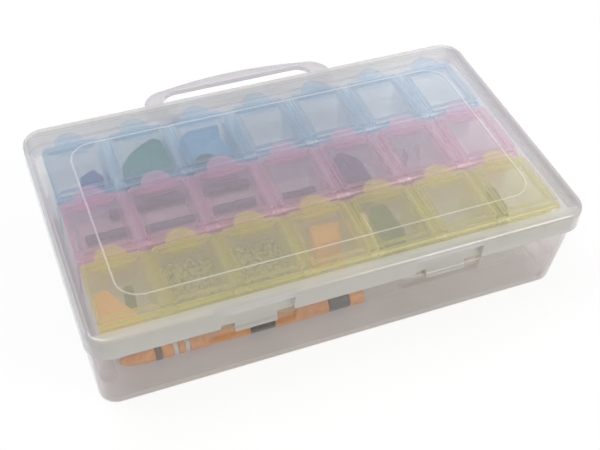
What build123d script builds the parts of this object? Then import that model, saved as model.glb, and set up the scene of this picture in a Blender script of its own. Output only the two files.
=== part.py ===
"""A translucent sewing box: a hinged case with three lift-out trays of seven lidded compartments.

The frame: +X runs along the box, +Y points to the handle side, +Z is up, and the origin is the middle
of the underside. Sizes are in millimetres. Everything is drawn at rest: lid shut, flaps down, handle
straight out.
"""
from build123d import *
import os

# ---- Driving sizes ---------------------------------------------------------------------------------
# Trays
cups = 7                      # compartments in a tray
cup_pitch = 30.0              # from one compartment to the next, along X
cup_length = 26.4             # outside of one cup, along X
cup_wall = 1.2
cup_floor = 1.2
cup_corner = 1.4              # flat across the upright corners of a cup and of the tray
tray_depth = 36.8             # front lip to back wall, along Y
tray_gap = 0.4                # between neighbouring trays
tray_height = 22.0            # underside to hinge ledge
hinge_ledge = 5.1             # ledge in front of the cups that carries the flap hinges
lip_drop = 6.0                # lip that hangs from the front of the ledge
rim_rise = 2.1                # cup rim above the hinge ledge

# Flaps
flap_thickness = 1.2
flap_seat_gap = 0.3           # between the cup rim and the shut flap
flap_edge_gap = 0.3           # from a flap's back edge to its tray's back edge
flap_corner = 1.8             # flat across the flap's back corners
plug_drop = 1.4               # rim under the flap that drops into the cup
plug_wall = 1.0
plug_gap = 0.4
rod_radius = 1.0              # eight-sided hinge rod along the flap's front edge, over its corners
rod_engagement = 1.3          # how far each end of the rod goes into its post
pin_running_gap = 0.08        # radial play of every hinge pin
post_radius = 1.7             # half the width of the posts that hold the rods
post_gap = 0.35               # between a post and the flap beside it
tab_radius = 6.8              # finger tab
tab_overhang = 5.4            # finger tab past the tray's back edge
tab_thickness = 1.0
tab_raise = 0.3               # underside of the tab above the top of the flap
tab_root = 7.0                # straight part of the tab, lying on the flap

# Base
base_wall = 1.6
base_floor = 1.8
base_height = 42.0
base_end_gap = 3.6            # rim's inside to the trays' ends
base_side_gap = 6.2           # rim's inside to the trays' long sides
end_draft = 1.5               # how far the ends lean in at the foot
side_draft = 4.9              # how far the long sides lean in at the foot
base_corner = 8.0
foot_chamfer = 2.2
shelf_height = 20.0           # top of the end shelves that carry the trays
shelf_bearing = 4.0           # length of tray that rests on a shelf
shelf_thickness = 1.6
shelf_rise = 8.0              # height of the sloping underside of a shelf

# Lid
lid_wall = 1.6
lid_gap = 0.5                 # between the lid's skirt and the base's rim
lid_headroom = 1.5            # from the finger tabs to the inside of the lid
skirt_drop = 10.1             # outside height of the lid
lid_edge = 2.4                # rounding round the lid's top
bead_length = 186.6           # raised bead on the lid's top, outside
bead_depth = 94.8
bead_corner = 11.0
bead_width = 1.3
bead_height = 0.5
thumb_lip_length = 36.0
thumb_lip_depth = 2.0
thumb_lip_thickness = 1.5

# Lid hinge: two recesses in the near long side, each with a bar on the base and a clip on the lid
hinge_spacing = 85.0
recess_length = 31.0          # recess in the lid's skirt
recess_depth = 2.6
recess_height = 7.1           # of the skirt's face, up from its lower edge
recess_drop = 1.5             # recessed skirt below the rest of the skirt
pocket_drop = 14.5            # from the base's rim down to the floor of the pocket
pocket_wall = 1.3
pocket_tray_gap = 2.2
bar_drop = 8.0                # from the base's rim down to the middle of the bar
bar_radius = 1.1
clip_wall = 0.9
clip_length = 18.0
clip_clearance = 0.4          # clip to the floor of the pocket
clip_mouth = 1.6              # opening that snaps over the bar

# Handle
handle_thickness = 2.4
handle_reach = 92.5           # outer edge of the grip, from the middle of the box
handle_width = 97.2           # over the legs at their widest
grip_width = 5.6              # grip at its middle
handle_slot_length = 78.4     # finger gap, at the grip
handle_shoulder = 3.7         # how much the outer edge curves back towards the corners
handle_corner = 11.0
handle_slot_corner = 8.0
leg_width = 6.0               # leg at its pivot
leg_lean = 1.5                # how far the leg's inside moves in towards the pivot
pivot_radius = 1.4
pivot_length = 3.2
pivot_drop = 6.5              # from the base's rim down to the pivots
eye_radius = 2.4
handle_lid_gap = 0.6          # between the handle, turned up, and the lid
lug_thickness = 3.0
lug_gap = 0.4                 # between a lug and the leg beside it

# ---- Sizes that follow -----------------------------------------------------------------------------
trays = ("yellow", "pink", "blue")                       # from the hinge side to the handle side
tray_length = (cups - 1) * cup_pitch + cup_length
tray_pitch = tray_depth + tray_gap
trays_depth = (len(trays) - 1) * tray_pitch + tray_depth
ledge_z = shelf_height + tray_height
rim_z = ledge_z + rim_rise
flap_bottom_z = rim_z + flap_seat_gap
flap_top_z = flap_bottom_z + flap_thickness
tab_bottom_z = flap_top_z + tab_raise
tab_top_z = tab_bottom_z + tab_thickness
rod_z = ledge_z + rod_radius + flap_seat_gap
rod_y = hinge_ledge - post_radius                        # from the tray's front edge

rim_length = tray_length + 2 * (base_end_gap + base_wall)
rim_depth = trays_depth + 2 * (base_side_gap + base_wall)

lid_length = rim_length + 2 * (lid_gap + lid_wall)
lid_depth = rim_depth + 2 * (lid_gap + lid_wall)
lid_inside_z = tab_top_z + lid_headroom
lid_top_z = lid_inside_z + lid_wall
skirt_z = lid_top_z - skirt_drop
lid_corner = base_corner + lid_gap + lid_wall

pocket_bottom = base_height - pocket_drop
pocket_face = trays_depth / 2 + pocket_tray_gap + pocket_wall
clip_radius = bar_radius + pin_running_gap + clip_wall
bar_y = -(pocket_face + clip_clearance + clip_radius)
bar_height = base_height - bar_drop
pocket_length = recess_length + 2 * (lid_wall + lid_gap)

pivot_y = lid_depth / 2 + handle_lid_gap + handle_thickness / 2
pivot_height = base_height - pivot_drop
leg_inside = handle_slot_length / 2 - leg_lean
leg_outside = leg_inside + leg_width


def save(part, name):
    """Label a finished piece and write it as its own STEP file."""
    part.label = name
    export_step(part, f"parts/{name}.step")


def tray_front(row):
    """Y of the front lip of a tray; row 0 is the tray beside the hinge."""
    return -trays_depth / 2 + row * tray_pitch


def cup_centres():
    """X of the middle of each cup."""
    return [(i - (cups - 1) / 2) * cup_pitch for i in range(cups)]


def drafted_block(bottom, length, depth, inset, corner, foot):
    """A block up to the rim's height whose sides lean in towards its foot, all `inset` smaller."""
    with BuildPart() as block:
        with BuildSketch(Plane.XZ):
            with BuildLine():
                Polyline(
                    (-length / 2 + inset, base_height),
                    (length / 2 - inset, base_height),
                    (length / 2 - end_draft - inset, bottom),
                    (-length / 2 + end_draft + inset, bottom),
                    close=True,
                )
            make_face()
        extrude(amount=depth, both=True)
        with BuildSketch(Plane.YZ):
            with BuildLine():
                Polyline(
                    (-depth / 2 + inset, base_height),
                    (depth / 2 - inset, base_height),
                    (depth / 2 - side_draft - inset, bottom),
                    (-depth / 2 + side_draft + inset, bottom),
                    close=True,
                )
            make_face()
        extrude(amount=length, both=True, mode=Mode.INTERSECT)
        fillet(block.edges().group_by(Axis.Z)[1], corner)
        chamfer(block.edges().group_by(Axis.Z)[0], foot)
    return block.part


os.makedirs("parts", exist_ok=True)

# ---- Base ------------------------------------------------------------------------------------------
# What is hollow in the base: a drafted block, less the two hinge pockets and the end shelves.
shelf_inside = tray_length / 2 - shelf_bearing
with BuildPart() as base_hollow:
    add(drafted_block(base_floor, rim_length, rim_depth, base_wall, base_corner - base_wall,
                      foot_chamfer - base_wall / 2))
    with BuildSketch(Plane.XY.offset(pocket_bottom - pocket_wall)):
        with Locations((-hinge_spacing / 2, -rim_depth / 2), (hinge_spacing / 2, -rim_depth / 2)):
            Rectangle(pocket_length + 2 * pocket_wall, rim_depth - 2 * (pocket_face - pocket_wall))
    extrude(amount=base_height, mode=Mode.SUBTRACT)
    with BuildSketch(Plane.XZ.offset(-rim_depth / 2)):
        for side in (-1, 1):
            with BuildLine():
                Polyline(
                    (side * shelf_inside, shelf_height),
                    (side * shelf_inside, shelf_height - shelf_thickness),
                    (side * rim_length / 2, shelf_height - shelf_thickness - shelf_rise),
                    (side * rim_length / 2, shelf_height),
                    close=True,
                )
            make_face()
    extrude(amount=rim_depth, mode=Mode.SUBTRACT)

with BuildPart() as base_box:
    add(drafted_block(0, rim_length, rim_depth, 0, base_corner, foot_chamfer))
    with BuildSketch(Plane.XY.offset(pocket_bottom)):
        with Locations((-hinge_spacing / 2, -rim_depth / 2), (hinge_spacing / 2, -rim_depth / 2)):
            Rectangle(pocket_length, rim_depth - 2 * pocket_face)
    extrude(amount=base_height, mode=Mode.SUBTRACT)
    add(base_hollow.part, mode=Mode.SUBTRACT)
    # A bar across each pocket, which the lid's clips hold.
    for centre in (-hinge_spacing / 2, hinge_spacing / 2):
        with BuildSketch(Plane.YZ.offset(centre - pocket_length / 2 - pocket_wall / 2)):
            with Locations((bar_y, bar_height)):
                Circle(bar_radius)
        extrude(amount=pocket_length + pocket_wall)
    # Two lugs on the far side, each with a hole for one of the handle's pivots.
    for side in (-1, 1):
        lug_inner = side * (leg_inside - lug_gap - lug_thickness / 2)
        wall_y = rim_depth / 2 - side_draft * (1 - pivot_height / base_height) - base_wall / 2
        with BuildSketch(Plane.YZ.offset(lug_inner)):
            with BuildLine():
                Line((wall_y, pivot_height + eye_radius), (pivot_y, pivot_height + eye_radius))
                ThreePointArc(
                    (pivot_y, pivot_height + eye_radius),
                    (pivot_y + eye_radius, pivot_height),
                    (pivot_y, pivot_height - eye_radius),
                )
                Polyline(
                    (pivot_y, pivot_height - eye_radius),
                    (wall_y, pivot_height - 2.5 * eye_radius),
                    (wall_y, pivot_height + eye_radius),
                )
            make_face()
            with Locations((pivot_y, pivot_height)):
                Circle(pivot_radius + pin_running_gap, mode=Mode.SUBTRACT)
        extrude(amount=lug_thickness / 2, both=True)
save(base_box.part, "base_box")

# ---- Lid -------------------------------------------------------------------------------------------
inside_length = lid_length - 2 * lid_wall
inside_depth = lid_depth - 2 * lid_wall
recess_face = lid_depth / 2 - recess_depth               # outer face of the set-back skirt
with BuildPart() as lid:
    with BuildSketch(Plane.XY.offset(skirt_z)):
        RectangleRounded(lid_length, lid_depth, lid_corner)
    extrude(amount=skirt_drop)
    fillet(lid.edges().group_by(Axis.Z)[-1], lid_edge)
    # The inside, which steps in behind the two hinge recesses.
    with BuildSketch(Plane.XY.offset(skirt_z)):
        RectangleRounded(inside_length, inside_depth, lid_corner - lid_wall)
        with Locations((-hinge_spacing / 2, -lid_depth / 2), (hinge_spacing / 2, -lid_depth / 2)):
            Rectangle(recess_length + 2 * lid_wall, 2 * (recess_depth + lid_wall), mode=Mode.SUBTRACT)
    extrude(amount=lid_inside_z - skirt_z, mode=Mode.SUBTRACT)
    # The recesses, with the set-back skirt and its clip below each.
    for centre in (-hinge_spacing / 2, hinge_spacing / 2):
        with BuildSketch(Plane.XY.offset(skirt_z)):
            with Locations((centre, -lid_depth / 2)):
                Rectangle(recess_length, 2 * recess_depth)
        extrude(amount=recess_height, mode=Mode.SUBTRACT)
        with BuildSketch(Plane.XY.offset(skirt_z)):
            with Locations((centre, -recess_face + lid_wall / 2)):
                Rectangle(recess_length, lid_wall)
        extrude(amount=-recess_drop)
        with BuildSketch(Plane.YZ.offset(centre)):
            with Locations((bar_y, bar_height)):
                Circle(clip_radius)
            with Locations((-recess_face + lid_wall / 2, (bar_height + skirt_z) / 2)):
                Rectangle(lid_wall, skirt_z - bar_height)
            with Locations((bar_y, bar_height)):
                Circle(bar_radius + pin_running_gap, mode=Mode.SUBTRACT)
            with Locations((bar_y, bar_height - clip_radius)):
                Rectangle(clip_mouth, 2 * clip_radius, mode=Mode.SUBTRACT)
        extrude(amount=clip_length / 2, both=True)
    # The raised bead on top and the thumb lip on the handle side.
    with BuildSketch(Plane.XY.offset(lid_top_z)):
        RectangleRounded(bead_length, bead_depth, bead_corner)
        RectangleRounded(bead_length - 2 * bead_width, bead_depth - 2 * bead_width,
                         bead_corner - bead_width, mode=Mode.SUBTRACT)
    extrude(amount=bead_height, taper=30)
    with BuildSketch(Plane.XY.offset(skirt_z)):
        with Locations((0, lid_depth / 2)):
            RectangleRounded(thumb_lip_length, 2 * thumb_lip_depth, thumb_lip_depth * 0.9)
        with Locations((0, lid_depth / 2 - thumb_lip_depth - lid_wall / 2)):
            Rectangle(thumb_lip_length, 2 * thumb_lip_depth, mode=Mode.SUBTRACT)
    extrude(amount=thumb_lip_thickness)
save(lid.part, "lid")

# ---- Handle ----------------------------------------------------------------------------------------
# Flat, lying in the plane of its two pivots, with pegs that point inwards into the base's lugs.
corner_y = handle_reach - handle_shoulder
slot_y = handle_reach - grip_width
half_width = handle_width / 2
half_slot = handle_slot_length / 2
widest_y = corner_y - handle_corner
with BuildPart() as handle:
    with BuildSketch(Plane.XY.offset(pivot_height - handle_thickness / 2)):
        with BuildLine():
            ThreePointArc(
                (half_width - handle_corner, corner_y),
                (0, handle_reach),
                (handle_corner - half_width, corner_y),
            )
            for side in (-1, 1):
                TangentArc(
                    (side * half_width, widest_y), (side * (half_width - handle_corner), corner_y),
                    tangent=(0, 1),
                )
                Line((side * half_width, widest_y), (side * leg_outside, pivot_y))
                Line((side * leg_outside, pivot_y), (side * leg_inside, pivot_y))
                Line((side * leg_inside, pivot_y), (side * half_slot, slot_y - handle_slot_corner))
                TangentArc(
                    (side * half_slot, slot_y - handle_slot_corner),
                    (side * (half_slot - handle_slot_corner), slot_y),
                    tangent=(0, 1),
                )
            Line((half_slot - handle_slot_corner, slot_y), (handle_slot_corner - half_slot, slot_y))
        make_face()
    extrude(amount=handle_thickness)
    for side in (-1, 1):
        with BuildSketch(Plane.YZ.offset(side * (leg_inside + leg_width / 2))):
            with Locations((pivot_y, pivot_height)):
                Circle(eye_radius)
        extrude(amount=leg_width / 2, both=True)
        with BuildSketch(Plane.YZ.offset(side * (leg_inside + leg_width / 2))):
            with Locations((pivot_y, pivot_height)):
                Circle(pivot_radius)
        extrude(amount=-side * (leg_width / 2 + pivot_length))
save(handle.part, "handle")

# ---- Trays -----------------------------------------------------------------------------------------
hinge_span = cup_length - 2 * rod_engagement             # between the two posts of one cup
cup_inside = cup_length - 2 * cup_wall
cup_front = hinge_ledge + cup_wall
cup_depth = tray_depth - cup_wall - cup_front
cored_length = cup_pitch - cup_length                    # open from below, between two cups


def make_tray(row):
    """One tray: cups joined by a rim, and a hinge ledge with a hanging lip and a post beside each cup."""
    front = tray_front(row)
    with BuildPart() as tray:
        with BuildSketch(Plane.XY.offset(shelf_height)):
            with Locations((0, front + (hinge_ledge + tray_depth) / 2)):
                Rectangle(tray_length, tray_depth - hinge_ledge)
        extrude(amount=tray_height + rim_rise)
        chamfer(tray.edges().filter_by(Axis.Z), cup_corner)
        # The hinge ledge and its lip, below the level of the rim.
        with BuildSketch(Plane.YZ.offset(-tray_length / 2)):
            with BuildLine():
                Polyline(
                    (front, ledge_z - lip_drop),
                    (front + cup_wall, ledge_z - lip_drop),
                    (front + cup_wall, ledge_z - cup_wall),
                    (front + cup_front, ledge_z - cup_wall),
                    (front + cup_front, ledge_z),
                    (front, ledge_z),
                    close=True,
                )
            make_face()
        extrude(amount=tray_length)
        # The cups, open at the top.
        with BuildSketch(Plane.XY.offset(shelf_height + cup_floor)) as hollows:
            with Locations([(x, front + cup_front + cup_depth / 2) for x in cup_centres()]):
                Rectangle(cup_inside, cup_depth)
            chamfer(hollows.vertices(), cup_corner)
        extrude(amount=tray_height + rim_rise, mode=Mode.SUBTRACT)
        # The gaps between cups, open from below and closed by the rim.
        with BuildSketch(Plane.XY.offset(shelf_height)):
            middles = [x + cup_pitch / 2 for x in cup_centres()[:-1]]
            with Locations([(x, front + cup_front + cup_depth / 2) for x in middles]):
                Rectangle(cored_length, cup_depth)
        extrude(amount=tray_height + rim_rise - cup_wall, mode=Mode.SUBTRACT)
        # The rim's front is cut down to the ledge, where the hinges turn.
        with BuildSketch(Plane.XY.offset(ledge_z)):
            with Locations((0, front + cup_front / 2)):
                Rectangle(tray_length, cup_front)
        extrude(amount=rim_rise, mode=Mode.SUBTRACT)
        # The posts: a bored ridge along the ledge, cut away in front of each cup.
        with BuildSketch(Plane.YZ.offset(-tray_length / 2)):
            with Locations((front + rod_y, rod_z)):
                RegularPolygon(post_radius, 8, major_radius=False, rotation=22.5)
            with Locations((front + rod_y, (ledge_z + rod_z) / 2)):
                Rectangle(2 * post_radius, rod_z - ledge_z)
            with Locations((front + rod_y, rod_z)):
                RegularPolygon(rod_radius + pin_running_gap, 8, major_radius=False, rotation=22.5,
                               mode=Mode.SUBTRACT)
        extrude(amount=tray_length)
        with BuildSketch(Plane.XY.offset(ledge_z)):
            with Locations([(x, front + rod_y) for x in cup_centres()]):
                Rectangle(hinge_span, 3 * post_radius)
        extrude(amount=rim_rise + post_radius, mode=Mode.SUBTRACT)
    return tray.part


for row, colour in enumerate(trays):
    save(make_tray(row), f"tray_{colour}")

# ---- Flaps -----------------------------------------------------------------------------------------
flap_back = tray_depth - flap_edge_gap
notch_y = rod_y + post_radius + post_gap                 # behind the posts
tab_centre = tray_depth + tab_overhang - tab_radius
web_length = hinge_span - 2 * post_gap


def make_flap(row, x):
    """One flap: a plate, a rim that drops into the cup, a hinge rod under its front, and a finger tab."""
    front = tray_front(row)
    with BuildPart() as flap:
        with BuildSketch(Plane.XY.offset(flap_bottom_z)) as plate:
            with Locations((x, front + (notch_y + flap_back) / 2)):
                Rectangle(cup_length, flap_back - notch_y)
            chamfer(plate.vertices().group_by(Axis.Y)[-1], flap_corner)
            with Locations((x, front + (rod_y + notch_y) / 2)):
                Rectangle(web_length, notch_y - rod_y)
        extrude(amount=flap_thickness)
        with BuildSketch(Plane.XY.offset(flap_bottom_z)):
            with Locations((x, front + cup_front + cup_depth / 2)):
                Rectangle(cup_inside - 2 * plug_gap - cup_wall, cup_depth - 2 * plug_gap - cup_wall)
                Rectangle(cup_inside - 2 * plug_gap - cup_wall - 2 * plug_wall,
                          cup_depth - 2 * plug_gap - cup_wall - 2 * plug_wall, mode=Mode.SUBTRACT)
        extrude(amount=-plug_drop)
        with BuildSketch(Plane.YZ.offset(x)):
            with Locations((front + rod_y, rod_z)):
                RegularPolygon(rod_radius, 8, rotation=22.5)
        extrude(amount=cup_length / 2, both=True)
        with BuildSketch(Plane.YZ.offset(x)):
            with Locations((front + rod_y + rod_radius / 2, (rod_z + flap_top_z) / 2)):
                Rectangle(rod_radius, flap_top_z - rod_z)
        extrude(amount=web_length / 2, both=True)
        with BuildSketch(Plane.XY.offset(flap_top_z)):
            with Locations((x, front + tab_centre)):
                Circle(tab_radius)
            with Locations((x, front + tab_centre - tab_root / 2)):
                Rectangle(2 * tab_radius, tab_root)
        extrude(amount=tab_top_z - flap_top_z)
        with BuildSketch(Plane.XY.offset(flap_top_z)):
            with Locations((x, front + flap_back + tab_radius)):
                Rectangle(4 * tab_radius, 2 * tab_radius)
        extrude(amount=tab_raise, mode=Mode.SUBTRACT)
    return flap.part


for row, colour in enumerate(trays):
    for number, x in enumerate(cup_centres(), start=1):
        save(make_flap(row, x), f"flap_{colour}_{number}")
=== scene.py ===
# %% [markdown]
# # A translucent sewing box
#
# A polypropylene case with three rows of lidded compartments, seen from above through its own lid.
# The solids come from a CAD model, so this lesson is about finish and light: six see-through
# plastics laid over one another, the small sewing things inside, and a plain pale table.
#
# Each step says what the real thing is, how it could be made, and why this way was chosen.

# %% Load the frame
import math

import bpy
import numpy as np
from mathutils import Matrix, Vector


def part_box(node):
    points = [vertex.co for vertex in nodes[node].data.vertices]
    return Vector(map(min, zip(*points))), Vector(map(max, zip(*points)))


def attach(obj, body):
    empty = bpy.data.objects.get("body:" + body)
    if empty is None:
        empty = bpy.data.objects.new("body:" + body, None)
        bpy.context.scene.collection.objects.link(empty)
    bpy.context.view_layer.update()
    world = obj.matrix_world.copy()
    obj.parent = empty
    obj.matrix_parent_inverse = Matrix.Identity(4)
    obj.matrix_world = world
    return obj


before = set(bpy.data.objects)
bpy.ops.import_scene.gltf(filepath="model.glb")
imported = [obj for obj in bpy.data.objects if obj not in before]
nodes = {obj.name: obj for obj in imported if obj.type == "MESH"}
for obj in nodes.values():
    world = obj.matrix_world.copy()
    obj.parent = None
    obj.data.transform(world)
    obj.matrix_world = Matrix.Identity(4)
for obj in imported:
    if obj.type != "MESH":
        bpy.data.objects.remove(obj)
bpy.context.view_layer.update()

MM = 0.001                     # every size below is written in millimetres
CUPS = 7


# %% [markdown]
# ## Three small helpers
#
# Colours are picked as sRGB hex values, as on a paint chart, but Blender's shaders expect linear
# light, so one function converts them. A second function adds a node to a material with its
# settings and links in one line. The third turns arrays of points and faces into a mesh piece that
# rides on a body of the model.

# %% Colour, node and mesh helpers
def linear(hex_colour):
    """sRGB hex to linear RGBA: c/12.92 below 0.04045, and ((c+0.055)/1.055)^2.4 above it."""
    c = np.array([int(hex_colour[i:i + 2], 16) / 255 for i in (1, 3, 5)])
    lit = np.where(c <= 0.04045, c / 12.92, ((c + 0.055) / 1.055) ** 2.4)
    return (*lit, 1.0)


def node(tree, kind, settings=None, **inputs):
    """Adds one shader node. A value fills the socket of that name, and an output socket is linked.

    An input that is written as an underscore and a number names the socket by its place.
    """
    made = tree.nodes.new(kind)
    for key, value in (settings or {}).items():
        setattr(made, key, value)
    for key, value in inputs.items():
        socket = made.inputs[int(key[1:])] if key[1:].isdigit() else made.inputs[key.replace("_", " ")]
        if isinstance(value, bpy.types.NodeSocket):
            tree.links.new(value, socket)
        else:
            socket.default_value = value
    return made


def new_material(name):
    """An empty material with an output node; returns the material and its node tree."""
    material = bpy.data.materials.new(name)
    material.use_nodes = True
    material.node_tree.nodes.clear()
    return material, material.node_tree


def mesh_piece(name, points_mm, faces, material, body="base"):
    """A smooth mesh from an (n, 3) array of points in millimetres and a list of faces."""
    mesh = bpy.data.meshes.new(name)
    mesh.from_pydata((np.asarray(points_mm) * MM).tolist(), [], [list(map(int, f)) for f in faces])
    mesh.update()
    mesh.polygons.foreach_set("use_smooth", np.full(len(mesh.polygons), True))
    mesh.materials.append(material)
    piece = bpy.data.objects.new(name, mesh)
    bpy.context.scene.collection.objects.link(piece)
    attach(piece, body)
    return piece


# %% [markdown]
# ## The camera
#
# The box is seen from its hinge side, a little from the left, and from about 46 degrees above the
# table. The camera is placed by those two angles, its distance and a small roll, and aimed at a
# point inside the box, so that its place is easy to read and to change.

# %% Camera
AZIMUTH, ELEVATION, ROLL = (math.radians(v) for v in (-23.885, 45.683, 3.248))
TARGET = Vector((-3.90, -13.79, 30.0)) * MM
DISTANCE = 464.36 * MM
LENS_MM, SENSOR_MM = 62.54, 36.0

toward_eye = Vector((math.sin(AZIMUTH) * math.cos(ELEVATION),
                     -math.cos(AZIMUTH) * math.cos(ELEVATION),
                     math.sin(ELEVATION)))
level_right = (-toward_eye).cross(Vector((0, 0, 1))).normalized()
level_up = toward_eye.cross(level_right)
right = math.cos(ROLL) * level_right + math.sin(ROLL) * level_up
up = -math.sin(ROLL) * level_right + math.cos(ROLL) * level_up

camera_data = bpy.data.cameras.new("camera")
camera_data.lens = LENS_MM
camera_data.sensor_width = SENSOR_MM
camera_data.clip_start = 0.01                 # metres
camera = bpy.data.objects.new("camera", camera_data)
bpy.context.scene.collection.objects.link(camera)
turn = Matrix((right, up, toward_eye)).transposed()
camera.matrix_world = Matrix.Translation(TARGET + toward_eye * DISTANCE) @ turn.to_4x4()
bpy.context.scene.camera = camera
print("camera at", [round(v, 3) for v in camera.location])

# %% [markdown]
# ## Table and light
#
# The box stands on a plain pale table under a large soft light, high up and a little to the left.
# A low, weak one at the back right draws a sheen over the right half of the lid, and a small warm
# one at the front right draws the bright line along its rounded edge. The table is white card.
# What the eye sees directly is lifted most of the way to pure white, with the Light Path node, so
# that the ground stays clean and still keeps the soft shadow. What is seen through the plastic is
# left as it is lit, or the shaded table under the case would glow.

# %% Table, lights and world
scene = bpy.context.scene
scene.view_settings.view_transform = "Standard"
scene.cycles.transparent_max_bounces = 40     # a line of sight crosses lid, flap, cup, case and walls

TABLE_LIFT = 0.88                             # how far the table is lifted to pure white
card, tree = new_material("white_card_table")
path = node(tree, "ShaderNodeLightPath")
direct = node(tree, "ShaderNodeMath", {"operation": "LESS_THAN"},
              _0=path.outputs["Transparent Depth"], _1=0.5)
seen = node(tree, "ShaderNodeMath", {"operation": "MULTIPLY"}, _0=path.outputs["Is Camera Ray"],
            _1=direct.outputs[0])
lift = node(tree, "ShaderNodeMath", {"operation": "MULTIPLY"}, _0=seen.outputs[0], _1=TABLE_LIFT)
paper = node(tree, "ShaderNodeBsdfDiffuse", Color=linear("#F7F7F7"))
glow = node(tree, "ShaderNodeEmission", Color=linear("#FFFFFF"), Strength=1.0)
mixed = node(tree, "ShaderNodeMixShader", _0=lift.outputs[0], _1=paper.outputs[0], _2=glow.outputs[0])
node(tree, "ShaderNodeOutputMaterial", Surface=mixed.outputs[0])

TABLE = 6000.0
table_mesh = bpy.data.meshes.new("table")
corners = np.array([(-1, -1, 0), (1, -1, 0), (1, 1, 0), (-1, 1, 0)]) * TABLE * MM
table_mesh.from_pydata(corners.tolist(), [], [(0, 1, 2, 3)])
table_mesh.materials.append(card)
table = bpy.data.objects.new("table", table_mesh)
scene.collection.objects.link(table)


def soft_light(name, place, aim, size, power, colour="#FFFFFF"):
    """A square area lamp at `place`, turned to face `aim`, in metres and watts."""
    data = bpy.data.lights.new(name, "AREA")
    data.size = size
    data.energy = power
    data.color = linear(colour)[:3]
    lamp = bpy.data.objects.new(name, data)
    scene.collection.objects.link(lamp)
    lamp.location = place
    lamp.rotation_euler = (Vector(aim) - Vector(place)).to_track_quat("-Z", "Y").to_euler()
    return lamp


BOX_MIDDLE = (0, 0, 0.03)
soft_light("softbox_above", (-0.55, 0.35, 1.55), BOX_MIDDLE, 1.0, 14.6)
soft_light("softbox_back_right", (1.00, 1.00, 0.75), BOX_MIDDLE, 0.8, 3.0)
soft_light("softbox_front_right", (0.70, -0.90, 0.90), BOX_MIDDLE, 0.6, 8.0, "#FFF6EA")

world = bpy.data.worlds.new("studio")
world.use_nodes = True
world.node_tree.nodes.clear()
sky = node(world.node_tree, "ShaderNodeBackground", Color=linear("#F2F5FA"), Strength=0.5)
node(world.node_tree, "ShaderNodeOutputWorld", Surface=sky.outputs[0])
scene.world = world

# %% [markdown]
# ## Six see-through plastics
#
# Case, lid and handle are natural polypropylene, and the trays are the same plastic with a little
# yellow, pink or blue. It is injection moulded in a polished tool, so its skin is smooth with a
# faint orange peel, and it is milky inside: it lets most light pass straight on and scatters the
# rest. Real refraction through a dozen thin walls would be slow and noisy, and walls 1 to 2 mm
# thick hardly bend a line of sight. So each skin is a mix of a clear shader and a lit plastic one,
# the share of the second is how milky it is, and the dye is an absorption inside the wall. A skin
# also mirrors, more so at a glancing angle, and that layer lies over the mix.
#
# A wall that stands on edge to the eye, such as the skirt of the lid, is looked at through more
# plastic than a flat top. It hides what is behind it, and its dye looks strong. So do thick places:
# the rim of a tray with its hinge ledge, the edges and finger tab of a flap, and the bead on the
# lid. Each such place is a zone, with its own colour and share. Three zones paint light and shade
# instead: a less milky band of the case wall under the lid is painted shade of the skirt's shadow,
# the back strip of the lid's skirt is painted lighter, and its right end is painted darker against
# a lamp's sheen. A zone is measured on the piece itself, in object space: by the slope of a face,
# or by its height, depth or place along the length.

# %% Translucent polypropylene
PP_IOR = 1.49
PP_MIRROR = ((PP_IOR - 1) / (PP_IOR + 1)) ** 2     # the share F0 that is mirrored straight on
PP_THROUGH = 0.4               # of the milky share, how much is scattered onwards and not back
FLOW_PER_METRE = 34.0          # flow marks of the melt, some 30 mm across
PEEL_PER_METRE = 650.0         # orange peel, about 1.5 mm from crest to crest


def ramp(tree, value, start, end, low=0.0, high=1.0):
    """low below start and high above end, straight between them; start may be the larger one."""
    return node(tree, "ShaderNodeMapRange", Value=value, From_Min=start, From_Max=end,
                To_Min=low, To_Max=high).outputs[0]


def combine(tree, operation, one, other):
    """A Math node on two values or sockets, such as MULTIPLY or MAXIMUM."""
    return node(tree, "ShaderNodeMath", {"operation": operation}, _0=one, _1=other).outputs[0]


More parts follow.
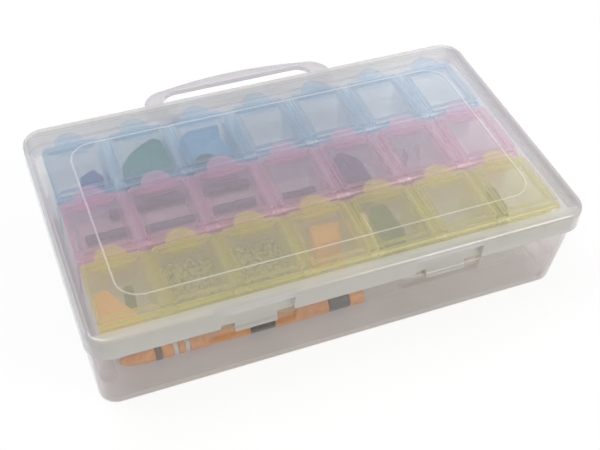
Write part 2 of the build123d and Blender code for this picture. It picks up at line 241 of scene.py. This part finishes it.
def polypropylene(name, colour, dye, milky, zones=(), roughness=0.26, density=100.0):
    """Polypropylene moulded in a polished tool.

    Each skin scatters the share `milky` of the light and lets the rest pass. A zone is (measure,
    start, end, colour, share): where the measure runs from start to end, the skin fades to the
    zone's own colour and share. Later zones lie over earlier ones. The measures are `slope`, 1 on
    level faces and 0 on upright ones, and `length`, `depth` and `height`, the places along X, Y
    and Z in millimetres. Along d metres inside the wall the dye's colour c keeps
    exp(-(1 - c) density d).
    """
    material, tree = new_material(name)
    place = node(tree, "ShaderNodeTexCoord")
    spot = place.outputs["Object"]
    along = node(tree, "ShaderNodeSeparateXYZ", Vector=spot).outputs
    facing = node(tree, "ShaderNodeSeparateXYZ", Vector=place.outputs["Normal"]).outputs
    measures = {"slope": combine(tree, "ABSOLUTE", facing["Z"], 0.0),
                "height": combine(tree, "DIVIDE", along["Z"], MM),
                "depth": combine(tree, "DIVIDE", along["Y"], MM),
                "length": combine(tree, "DIVIDE", along["X"], MM)}
    tone, share = linear(colour), milky
    for measure, start, end, zone_colour, zone_share in zones:
        inside_zone = ramp(tree, measures[measure], start, end)
        tone = node(tree, "ShaderNodeMix", {"data_type": "RGBA"}, _0=inside_zone, _6=tone,
                    _7=linear(zone_colour)).outputs[2]
        share = node(tree, "ShaderNodeMix", _0=inside_zone, _2=share, _3=zone_share).outputs[0]
    flow = node(tree, "ShaderNodeTexNoise", Vector=spot, Scale=FLOW_PER_METRE, Detail=2.0).outputs["Fac"]
    share = combine(tree, "MULTIPLY", share, ramp(tree, flow, 0.3, 0.7, 0.92, 1.08))
    peel = node(tree, "ShaderNodeTexNoise", Vector=spot, Scale=PEEL_PER_METRE, Detail=1.0).outputs["Fac"]
    bump = node(tree, "ShaderNodeBump", Strength=0.02, Distance=0.05 * MM, Height=peel).outputs[0]
    plastic = node(tree, "ShaderNodeBsdfPrincipled", Base_Color=tone, Roughness=roughness,
                   IOR=PP_IOR, Normal=bump)
    through = node(tree, "ShaderNodeBsdfTranslucent", Color=tone)
    body = node(tree, "ShaderNodeMixShader", _0=PP_THROUGH, _1=plastic.outputs[0],
                _2=through.outputs[0])
    clear = node(tree, "ShaderNodeBsdfTransparent", Color=(1.0, 1.0, 1.0, 1.0))
    mixed = node(tree, "ShaderNodeMixShader", _0=share, _1=clear.outputs[0], _2=body.outputs[0])
    # The polished skin mirrors F0 + (1 - F0) (1 - cos a)^5 of the light, whether it is milky or clear.
    slant = node(tree, "ShaderNodeLayerWeight", Blend=0.5).outputs["Facing"]
    mirror = ramp(tree, combine(tree, "POWER", slant, 5.0), 0.0, 1.0, PP_MIRROR, 1.0)
    gloss = node(tree, "ShaderNodeBsdfGlossy", Color=(1.0, 1.0, 1.0, 1.0), Roughness=roughness)
    skin = node(tree, "ShaderNodeMixShader", _0=mirror, _1=mixed.outputs[0], _2=gloss.outputs[0])
    inside = node(tree, "ShaderNodeVolumeAbsorption", Color=linear(dye), Density=density)
    node(tree, "ShaderNodeOutputMaterial", Surface=skin.outputs[0], Volume=inside.outputs[0])
    return material


# %% The plastics of the case, lid and handle
def top(name):
    """The height of a node's highest point, in millimetres."""
    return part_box(name)[1].z / MM


case_top, bead_top = top("base_box"), top("lid")
BEAD_HEIGHT = 0.5
lid_top = bead_top - BEAD_HEIGHT
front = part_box("lid")[0].y / MM
back, right_end = -front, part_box("lid")[1].x / MM
EDGE_ON = ("slope", 0.99, 0.6)                # from level faces to upright ones
plastics = {
    # The band of wall just under the lid is made less milky: painted shade of the skirt's shadow on it.
    # The rim is thick.
    "base_box": polypropylene("polypropylene_natural_case", "#C4BDC0", "#EAE2E6", 0.15, [
        ("height", case_top - 16, case_top - 15, "#C9C3C6", 0.07),
        ("height", case_top - 5.5, case_top - 4.5, "#EEECF0", 0.36)], density=60.0),
    # The skirt hides what is behind it. The strip over the hinge is thick too, and of the bead only
    # the flat top is milky.
    "lid": polypropylene("polypropylene_clear_lid", "#E6E7EA", "#F2F4F8", 0.13, [
        ("depth", front + 5.6, front + 5.0, "#E2E1DE", 0.5),
        (*EDGE_ON, "#D2D1CE", 0.76),
        # Painted light: the back strip of the skirt is lighter and clearer than the rest, where its
        # inner face gets little lamp light.
        ("depth", back - 5.0, back - 4.0, "#EAE6E2", 0.52),
        # Painted shade: the right end is a darker grey, to damp the sheen of the back-right lamp there.
        ("length", right_end - 5.0, right_end - 4.0, "#C0BABE", 0.50),
        ("height", lid_top + 0.03, lid_top + 0.06, "#E6E7EA", 0.13),
        ("height", bead_top - 0.08, bead_top - 0.04, "#FFFFFF", 0.42)], roughness=0.2, density=60.0),
    "handle": polypropylene("polypropylene_natural_handle", "#D9D7DA", "#EAE2E6", 0.42, [
        (*EDGE_ON, "#C6C2C8", 0.5)], density=60.0),
}
print("plastics:", sorted(m.name for m in plastics.values()))

# %% The plastics of the trays and flaps
# For each row the tone of a thin wall, of a thick one, and of the dye in the plastic.
row_tones = {"yellow": ("#E6DE84", "#EEE644", "#F7F09A"),
             "pink": ("#E0C4D4", "#FCC6E4", "#F9CEE4"),
             "blue": ("#BECEDA", "#B0DCF4", "#C0E0F4")}
LEDGE_BELOW_RIM, TAB_HEIGHT = 3.3, 1.05
for row, (pale, strong, dye) in row_tones.items():
    # The ledge that carries the flaps' posts is thick, and so is a flap's tab.
    ledge, tab = top(f"tray_{row}") - LEDGE_BELOW_RIM, top(f"flap_{row}_1") - TAB_HEIGHT
    plastics[f"tray_{row}"] = polypropylene(f"polypropylene_{row}_tray", pale, dye, 0.14, [
        (*EDGE_ON, pale, 0.2), ("height", ledge - 0.2, ledge, strong, 0.25)])
    plastics[f"flap_{row}"] = polypropylene(f"polypropylene_{row}_flap", pale, dye, 0.14, [
        (*EDGE_ON, strong, 0.55), ("height", tab - 0.2, tab, strong, 0.24)])
for name, piece in nodes.items():
    finish = next(plastics[key] for key in plastics if name.startswith(key))
    piece.data.materials.clear()
    piece.data.materials.append(finish)
print("plastics:", len(plastics))

# %% [markdown]
# ## Where the compartments are
#
# The things inside lie on the floors of the cups. The floor of each cup is worked out from the
# tray's own box, so that they stay in place if the CAD model changes.

# %% Compartment places
CUP_PITCH = 30.0
CUP_LENGTH, CUP_DEPTH = 24.0, 29.3            # inside
FLOOR_RISE = 1.2
CUP_FRONT = 6.3                                # from the tray's front lip to the inside of the cup


def cup(row, number):
    """(x, y, z) in millimetres of the middle of one cup's floor; number counts from 1 at the left."""
    low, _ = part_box(f"tray_{row}")
    x = (number - (CUPS + 1) / 2) * CUP_PITCH
    return np.array([x, low.y / MM + CUP_FRONT + CUP_DEPTH / 2, low.z / MM + FLOOR_RISE])


print("first yellow cup", cup("yellow", 1).round(1))

# %% [markdown]
# ## The pen-shaped tool under the trays
#
# A slim marking tool lies along the front of the case: a turned barrel of orange plastic with
# black and white rings and a knurled grip. A turned part is a profile of radii along an axis,
# carried round it, so each section is one grid of points: along the axis, and round it.

# %% Finishes of the small things
def solid_finish(name, colour, second, roughness, grain_mm, bump_mm=0.1, sheen=0.0):
    """An opaque finish whose colour wanders between two tones on a pattern `grain_mm` across."""
    material, tree = new_material(name)
    place = node(tree, "ShaderNodeTexCoord").outputs["Object"]
    grain = node(tree, "ShaderNodeTexNoise", Vector=place, Scale=1000 / grain_mm,
                 Detail=3.0).outputs["Fac"]
    spread = ramp(tree, grain, 0.35, 0.65)
    tone = node(tree, "ShaderNodeMix", {"data_type": "RGBA"}, _0=spread, _6=linear(colour),
                _7=linear(second)).outputs[2]
    bump = node(tree, "ShaderNodeBump", Strength=0.6, Distance=bump_mm * MM, Height=grain).outputs[0]
    skin = node(tree, "ShaderNodeBsdfPrincipled", Base_Color=tone, Roughness=roughness,
                Normal=bump, Sheen_Weight=sheen)
    node(tree, "ShaderNodeOutputMaterial", Surface=skin.outputs[0])
    return material


# ABS moulded in a satin tool: even in colour, with soft wide highlights.
orange_abs = solid_finish("abs_orange_moulded", "#E89E42", "#D68A32", 0.3, 2.0)
black_abs = solid_finish("abs_black_moulded", "#23242E", "#1C1D26", 0.35, 2.0)
brown_abs = solid_finish("abs_brown_moulded", "#5A3A20", "#4A2E18", 0.4, 2.0)
white_abs = solid_finish("abs_white_moulded", "#D8D9DC", "#CDCED2", 0.4, 2.0)
# Pressed felt: no highlight at all, a mottled tone and a light fuzz along its edges. The fibres
# are finer than can be drawn, so the mottling is as coarse as it needs to be to show.
FELT = {"roughness": 0.95, "grain_mm": 1.2, "bump_mm": 0.3, "sheen": 0.3}
orange_felt = solid_finish("felt_orange_pressed", "#F2A848", "#E89630", **FELT)
navy_felt = solid_finish("felt_royal_blue_pressed", "#0052B4", "#00429C", **FELT)
teal_felt = solid_finish("felt_teal_pressed", "#00948A", "#007C74", **{**FELT, "grain_mm": 1.5})
sea_green_felt = solid_finish("felt_sea_green_pressed", "#0E5A4C", "#0A483E", **FELT)
green_felt = solid_finish("felt_dark_green_pressed", "#526A3C", "#40562E", **FELT)
plum_felt = solid_finish("felt_plum_pressed", "#3C2A6C", "#2E2058", **FELT)
# Woven cotton: dull too, but finer and flatter than felt.
COTTON = {"roughness": 0.9, "grain_mm": 0.8, "bump_mm": 0.2, "sheen": 0.2}
sky_cotton = solid_finish("cotton_sky_blue_woven", "#8CBEDE", "#6CA6CE", **COTTON)
pale_cotton = solid_finish("cotton_undyed_woven", "#F4EEE2", "#E8E2D4", **COTTON)
# Moulded polystyrene is hard and a little glossy, and pressed glass beads catch small glints.
mauve_tube = solid_finish("polystyrene_mauve_moulded", "#4A4066", "#3C3456", 0.35, 3.0)
pale_rest = solid_finish("polystyrene_pale_moulded", "#BFB0B8", "#B5A5AC", 0.5, 3.0)
clear_grey = solid_finish("polystyrene_grey_moulded", "#B0AABC", "#A09AAE", 0.3, 3.0)
glass_bead = solid_finish("glass_beads_pressed", "#BCB078", "#948A54", 0.3, 1.5)
small_finishes = [m.name for m in bpy.data.materials if m.name.startswith(("abs", "felt", "cotton",
                                                                           "polystyrene", "glass"))]
print("finishes of small things:", len(small_finishes))


# %% Turned pieces
def ring_faces(rings, around):
    """Quads of a grid of `rings` rings with `around` points each, closed round and open at its ends."""
    i, j = np.meshgrid(np.arange(rings - 1), np.arange(around), indexing="ij")
    k = (j + 1) % around
    quads = np.stack([i * around + j, (i + 1) * around + j, (i + 1) * around + k, i * around + k], -1)
    return quads.reshape(-1, 4)


def turned(name, along, radii, centre, material, around=40, knurl=0.0, knurls=0):
    """A solid turned about X: at x along[i] its radius is radii[i], plus a knurl of crossed ridges.

    The knurl is knurl * |sin(knurls a / 2 + p x)| * |sin(knurls a / 2 - p x)|, with a the angle.
    """
    angle = np.linspace(0, 2 * np.pi, around, endpoint=False)
    x, a = np.meshgrid(along, angle, indexing="ij")
    r = np.repeat(np.asarray(radii, float)[:, None], around, 1)
    if knurls:
        wave = knurls / 2 / np.asarray(radii).max()
        crossed = np.sin(knurls * a / 2 + wave * x) * np.sin(knurls * a / 2 - wave * x)
        r = r + knurl * (np.abs(crossed) - 0.5)
    points = np.stack([x, centre[1] + r * np.cos(a), centre[2] + r * np.sin(a)], -1).reshape(-1, 3)
    ends = np.array([[along[0], centre[1], centre[2]], [along[-1], centre[1], centre[2]]])
    faces = ring_faces(len(along), around).tolist()
    last, total = (len(along) - 1) * around, len(points)
    j = np.arange(around)
    faces += np.stack([np.full(around, total), j, (j + 1) % around], -1).tolist()
    faces += np.stack([np.full(around, total + 1), last + (j + 1) % around, last + j], -1).tolist()
    return mesh_piece(name, np.vstack([points, ends]), faces, material)


TOOL_Y, TOOL_RADIUS = -41.7, 3.7
CASE_FLOOR = 1.8                              # top of the case's floor, above the table
tool_z = CASE_FLOOR + TOOL_RADIUS + 0.05
axis = (0, TOOL_Y, tool_z)


def barrel(name, start, end, material, radius=TOOL_RADIUS, rounding=0.35, **more):
    """A plain section of the tool between two places along X, with small rounded shoulders."""
    t = np.linspace(0, np.pi / 2, 4)
    x = np.concatenate([start + rounding * (1 - np.cos(t)), end - rounding * (1 - np.cos(t[::-1]))])
    r = np.concatenate([radius - rounding * (1 - np.sin(t)), radius - rounding * (1 - np.sin(t[::-1]))])
    if more.get("knurls"):
        middle = np.linspace(x[3], x[4], 120)[1:-1]
        x = np.concatenate([x[:4], middle, x[4:]])
        r = np.concatenate([r[:4], np.full(len(middle), radius), r[4:]])
    return turned(name, x, r, axis, material, **more)


TIP_END, CAP_END = -95.5, 16.0
tip_x = np.array([TIP_END, -95.2, -94.0, -91.0, -86.0, -80.6])
turned("tool_tip", tip_x, [0.6, 1.2, 2.0, 2.9, 3.5, 3.65], axis, orange_abs)
barrel("tool_collar", -80.5, -77.6, brown_abs)
barrel("tool_neck", -77.5, -72.6, orange_abs)
barrel("tool_ring_left", -72.5, -70.4, white_abs, 3.5)
barrel("tool_ring_bridge", -70.3, -67.5, orange_abs, 3.6)
barrel("tool_ring_right", -67.4, -65.3, white_abs, 3.5)
barrel("tool_barrel", -65.2, -38.2, orange_abs)
barrel("tool_band_left", -38.1, -26.8, black_abs)
barrel("tool_grip", -26.7, -1.2, orange_abs, 3.75, knurl=0.5, knurls=22, around=132)
barrel("tool_band_right", -1.1, 8.8, black_abs)
barrel("tool_cap", 8.9, CAP_END, orange_abs)
print("tool length", CAP_END - TIP_END, "mm")


# %% [markdown]
# ## Felt and cotton scraps
#
# Soft scraps are pushed into some cups and fill them nearly to the flap. Each is one closed lump,
# whose wall leads from an outline near its top down to a wider one on the floor. One outline and a
# height describe a folded scrap well enough, and the creases are a few sine waves seeded by a
# number, so every lump is different and comes out the same on each run.

# %% Lumps of felt and cotton
SIDE, BACK = CUP_LENGTH / 2 - 0.4, CUP_DEPTH / 2 - 0.4


def outline(corners, around=120):
    """A closed ring through the corner points in order, rounded by repeated averaging."""
    corners = np.asarray(corners, float)
    closed = np.vstack([corners, corners[:1]])
    reach = np.concatenate([[0], np.cumsum(np.linalg.norm(np.diff(closed, axis=0), axis=1))])
    along = np.linspace(0, reach[-1], around, endpoint=False)
    ring = np.stack([np.interp(along, reach, closed[:, k]) for k in (0, 1)], -1)
    for _ in range(4):
        ring = (np.roll(ring, 1, 0) + 2 * ring + np.roll(ring, -1, 0)) / 4
    return ring


def scrap(name, row, number, corners, height, material, seed=1, crease=0.06, rounding=1.5,
          spread=1.15, lean=2.5):
    """A closed lump in a cup. Corners are (x, y) in millimetres from the middle of the cup's floor.

    The outline shrinks from `spread` times its size on the floor to its own size near the top, and
    over the top as cos(v) while the height rises as sin(v). Creases scale each ring a little, and
    the lump leans back by `lean` millimetres at its top.
    """
    rng = np.random.default_rng(seed)
    base_ring = outline(corners)
    around = len(base_ring)
    t = np.concatenate([np.linspace(0, 1, 26), np.ones(11)])[:, None]
    v = np.concatenate([np.zeros(26), np.linspace(0, 1.5, 12)[1:]])[:, None]
    u = np.linspace(0, 2 * np.pi, around, endpoint=False)[None, :]
    folds = np.zeros((len(t), around))
    for wave in range(2, 8):
        side, climb = rng.integers(1, wave + 1), rng.uniform(0.5, wave)
        phase, turn = rng.uniform(0, 6.28, 2)
        folds += np.abs(np.sin(side * u + phase + climb * (t + v) + np.sin(2 * t + turn))) / wave
    folds = crease * (folds - folds.mean())
    middle = base_ring.mean(0)
    size = (spread + (1 - spread) * t) * np.cos(v) * (1 + folds)
    ring = middle + (base_ring - middle)[None] * size[:, :, None]
    ring[:, :, 1] += lean * t
    ring = np.clip(ring, (-SIDE, -BACK), (SIDE, BACK))
    z = (height - rounding) * t + rounding * np.sin(v) + folds * height * 0.4 * t
    points = np.concatenate([ring, z[:, :, None]], -1).reshape(-1, 3)
    points = np.vstack([points, [[*ring[-1].mean(0), z[-1].mean() + 0.05]]])
    points = points + cup(row, number) + (0, 0, 0.05)
    faces = [f[::-1] for f in ring_faces(len(t), around).tolist()]
    j, last = np.arange(around), (len(t) - 1) * around
    faces += np.stack([last + j, last + (j + 1) % around, np.full(around, len(points) - 1)], -1).tolist()
    faces.append(list(range(around))[::-1])
    return mesh_piece(name, points, faces, material)


def slab(x0, x1, y0, y1):
    """The four corners of a rectangle, anticlockwise."""
    return [(x0, y0), (x1, y0), (x1, y1), (x0, y1)]


# %% Scraps in the blue and pink trays
scrap("scrap_royal_blue", "blue", 1,
      [(1, -1), (8.3, -3.5), (SIDE, 1), (8.7, 7.5), (1.2, 3.8)],
      12.5, navy_felt, 3, rounding=2.5, spread=1.3)
scrap("scrap_teal", "blue", 2,
      [(-11, -11), (9.5, -13), (SIDE, -9), (SIDE, 9), (8, 12.2), (2.8, 9.8), (-4, 4.8), (-10.6, -2.5)],
      18.9, teal_felt, 5, crease=0.04, spread=1.05)
scrap("scrap_sky_blue", "blue", 3,
      [(-SIDE, -10), (1.4, -11), (11.2, -10.8), (SIDE, -5.6), (8.4, 2.5), (10.5, 13.5), (1, 12.5),
       (-4.2, 14), (-SIDE, 5.5)],
      18.0, sky_cotton, 8, crease=0.12, spread=1.05)
# A small dark roll lies on the front edge of the sky-blue scrap.
x0, y0, z0 = cup("blue", 3)
turned("scrap_green_roll", x0 + np.array([-8.4, -7.0, -4.6, -2.2, 0.4, 1.8]),
       [0.6, 2.0, 2.9, 3.0, 2.0, 0.6], (0, y0 - 8.6, z0 + 17.9), sea_green_felt, around=28)
scrap("scrap_plum", "pink", 5,
      [(-9.3, -10.9), (5.2, -7.8), (5.1, 6), (-2.1, 12.6), (-10.1, 4.5)],
      17.6, plum_felt, 21, crease=0.1)
scrap("grey_hook", "pink", 6,
      [(-4.8, -2), (4.4, -4.7), (4.6, 4.5), (10.6, 11.4), (8, 12.4), (3.8, 7.5), (3.7, 13.8),
       (1.3, 13), (1.2, 5)],
      10.7, clear_grey, crease=0, rounding=1.0, spread=1.02)

# %% Scraps in the yellow tray
scrap("scrap_orange_left", "yellow", 1,
      [(-SIDE, -13.8), (5.8, -13.8), (3.2, -8.6), (-4.8, 6.9), (-10.8, 4.8)],
      14.5, orange_felt, 12)
scrap("scrap_green_tuft", "yellow", 1, slab(2.5, 6.5, 4.5, 7), 12.5, green_felt, 13)
scrap("scrap_orange_middle", "yellow", 4,
      [(-3.9, 0.4), (8.3, 0.9), (SIDE, 11.4), (-3, 12.2)],
      14.6, orange_felt, 15)
scrap("scrap_orange_bit_left", "yellow", 4, slab(-SIDE, -9.5, 3, 6), 11.0, orange_felt, 16)
scrap("scrap_orange_bit_front", "yellow", 4, slab(-9, -6.5, -5.5, -3), 12.0, orange_felt, 17)
scrap("scrap_orange_bit_right", "yellow", 4, slab(4, 7, -7.5, -5), 12.0, orange_felt, 18)
scrap("scrap_dark_green", "yellow", 5,
      [(-9, -13.5), (3.2, -13.1), (5.4, -4.2), (4.1, 10.8), (-2.1, 12.4), (-6.4, 6.3)],
      17.2, green_felt, 25)
scrap("scrap_undyed", "yellow", 5,
      [(-SIDE, -12.5), (-10, -12.6), (-7.3, 6), (-6.9, 11), (-9.2, 11.8)],
      16.5, pale_cotton, 26, rounding=0.8, spread=1.02, lean=1.0)
scrap("scrap_green_right", "yellow", 7,
      [(-8, -9.5), (-6, -12.1), (-3.4, -7.5), (-2.9, 6.6), (-5.8, 9)],
      15.4, green_felt, 27)

# %% [markdown]
# ## Needle tubes and beads
#
# Slim mauve tubes lie on pale rests in the pink cups, and two yellow cups hold loose beads. A tube
# is a turned piece again, and a rest is a plain block. The beads of a cup are one mesh: a bead of a
# few dozen faces is copied to each seeded place with one array sum. Only the top layer of a heap is
# seen, so it lies on a lump that stands for the beads below.

# %% Needle tubes
def tube(name, row, number, start, end, y, rest, radius=2.1, waist=True):
    """A closed tube along X from start to end, on a rest `rest` mm high, with a narrower middle ring."""
    x0, y0, z0 = cup(row, number)
    middle = (start + end) / 2
    along = [start, start + 0.4, middle - 0.9, middle - 0.8, middle + 0.8, middle + 0.9, end - 0.4, end]
    inner = radius - (0.35 if waist else 0.0)
    radii = [radius - 0.4, radius, radius, inner, inner, radius, radius, radius - 0.4]
    centre = (0, y0 + y, z0 + rest + radius + 0.15)
    return turned(name, np.array(along) + x0, radii, centre, mauve_tube, around=28)


REST_HEIGHT = 12.8
LOW_REST_HEIGHT = 8.6
rests = {1: slab(-8, SIDE, -4, BACK), 2: slab(-11, SIDE, -6, BACK),
         3: slab(-11, SIDE, -5, BACK), 4: slab(-7, SIDE, -4, 5)}
for number, corners in rests.items():
    scrap(f"tube_rest_{number}", "pink", number, corners,
          LOW_REST_HEIGHT if number == 4 else REST_HEIGHT, pale_rest,
          crease=0, rounding=0.6, spread=1.0, lean=0.0)
tube("needle_tube_1", "pink", 1, 7.2, SIDE, 11.3, REST_HEIGHT, waist=False)
tube("needle_tube_2", "pink", 1, -6.0, SIDE, -0.5, REST_HEIGHT)
tube("needle_tube_3", "pink", 2, -10.6, SIDE, 11.9, REST_HEIGHT)
tube("needle_tube_4", "pink", 2, -10.4, SIDE, -2.7, REST_HEIGHT)
tube("needle_tube_5", "pink", 3, -10.0, 11.4, 11.2, REST_HEIGHT)
tube("needle_tube_6", "pink", 3, -9.4, 10.4, -1.0, REST_HEIGHT)
tube("needle_tube_7", "pink", 4, -5.5, 10.2, 0.5, LOW_REST_HEIGHT)
print("tubes and rests made:", 7, len(rests))


# %% Beads
def beads(name, row, number, count, radius, seed, material):
    """The top layer of a heap of beads: an 8 by 5 sphere grid, copied to seeded places on a slope."""
    rng = np.random.default_rng(seed)
    around, rings = 8, 5
    v, u = np.meshgrid(np.linspace(-np.pi / 2, np.pi / 2, rings + 2)[1:-1],
                       np.linspace(0, 2 * np.pi, around, endpoint=False), indexing="ij")
    ball = np.stack([np.cos(v) * np.cos(u), np.cos(v) * np.sin(u), np.sin(v)], -1)
    ball = ball.reshape(-1, 3) * radius
    ball = np.vstack([ball, [[0, 0, -radius], [0, 0, radius]]])
    j = np.arange(around)
    faces = ring_faces(rings, around)[:, ::-1].tolist()
    faces += np.stack([np.full(around, len(ball) - 2), (j + 1) % around, j], -1).tolist()
    last = (rings - 1) * around
    faces += np.stack([np.full(around, len(ball) - 1), last + j, last + (j + 1) % around], -1).tolist()
    reach_x, reach_y = SIDE - radius, BACK - radius
    x, t = rng.uniform(-reach_x, reach_x, count), rng.uniform(0, 1, count)
    y = reach_y - 18 * t
    z = 13.0 - 4.0 * t ** 2 - 2.2 * rng.uniform(0, 1, count) ** 2
    points = (np.stack([x, y, z], -1)[:, None, :] + ball[None]).reshape(-1, 3) + cup(row, number)
    all_faces = [[index + n * len(ball) for index in face] for n in range(count) for face in faces]
    return mesh_piece(name, points, all_faces, material)


for side, number in (("left", 2), ("right", 3)):
    scrap(f"bead_heap_{side}", "yellow", number, slab(-SIDE, SIDE, -5, BACK), 11.0, glass_bead,
          number, spread=1.1)
beads("beads_left", "yellow", 2, 330, 1.1, 31, glass_bead)
beads("beads_right", "yellow", 3, 380, 1.0, 32, glass_bead)
print("beads made")
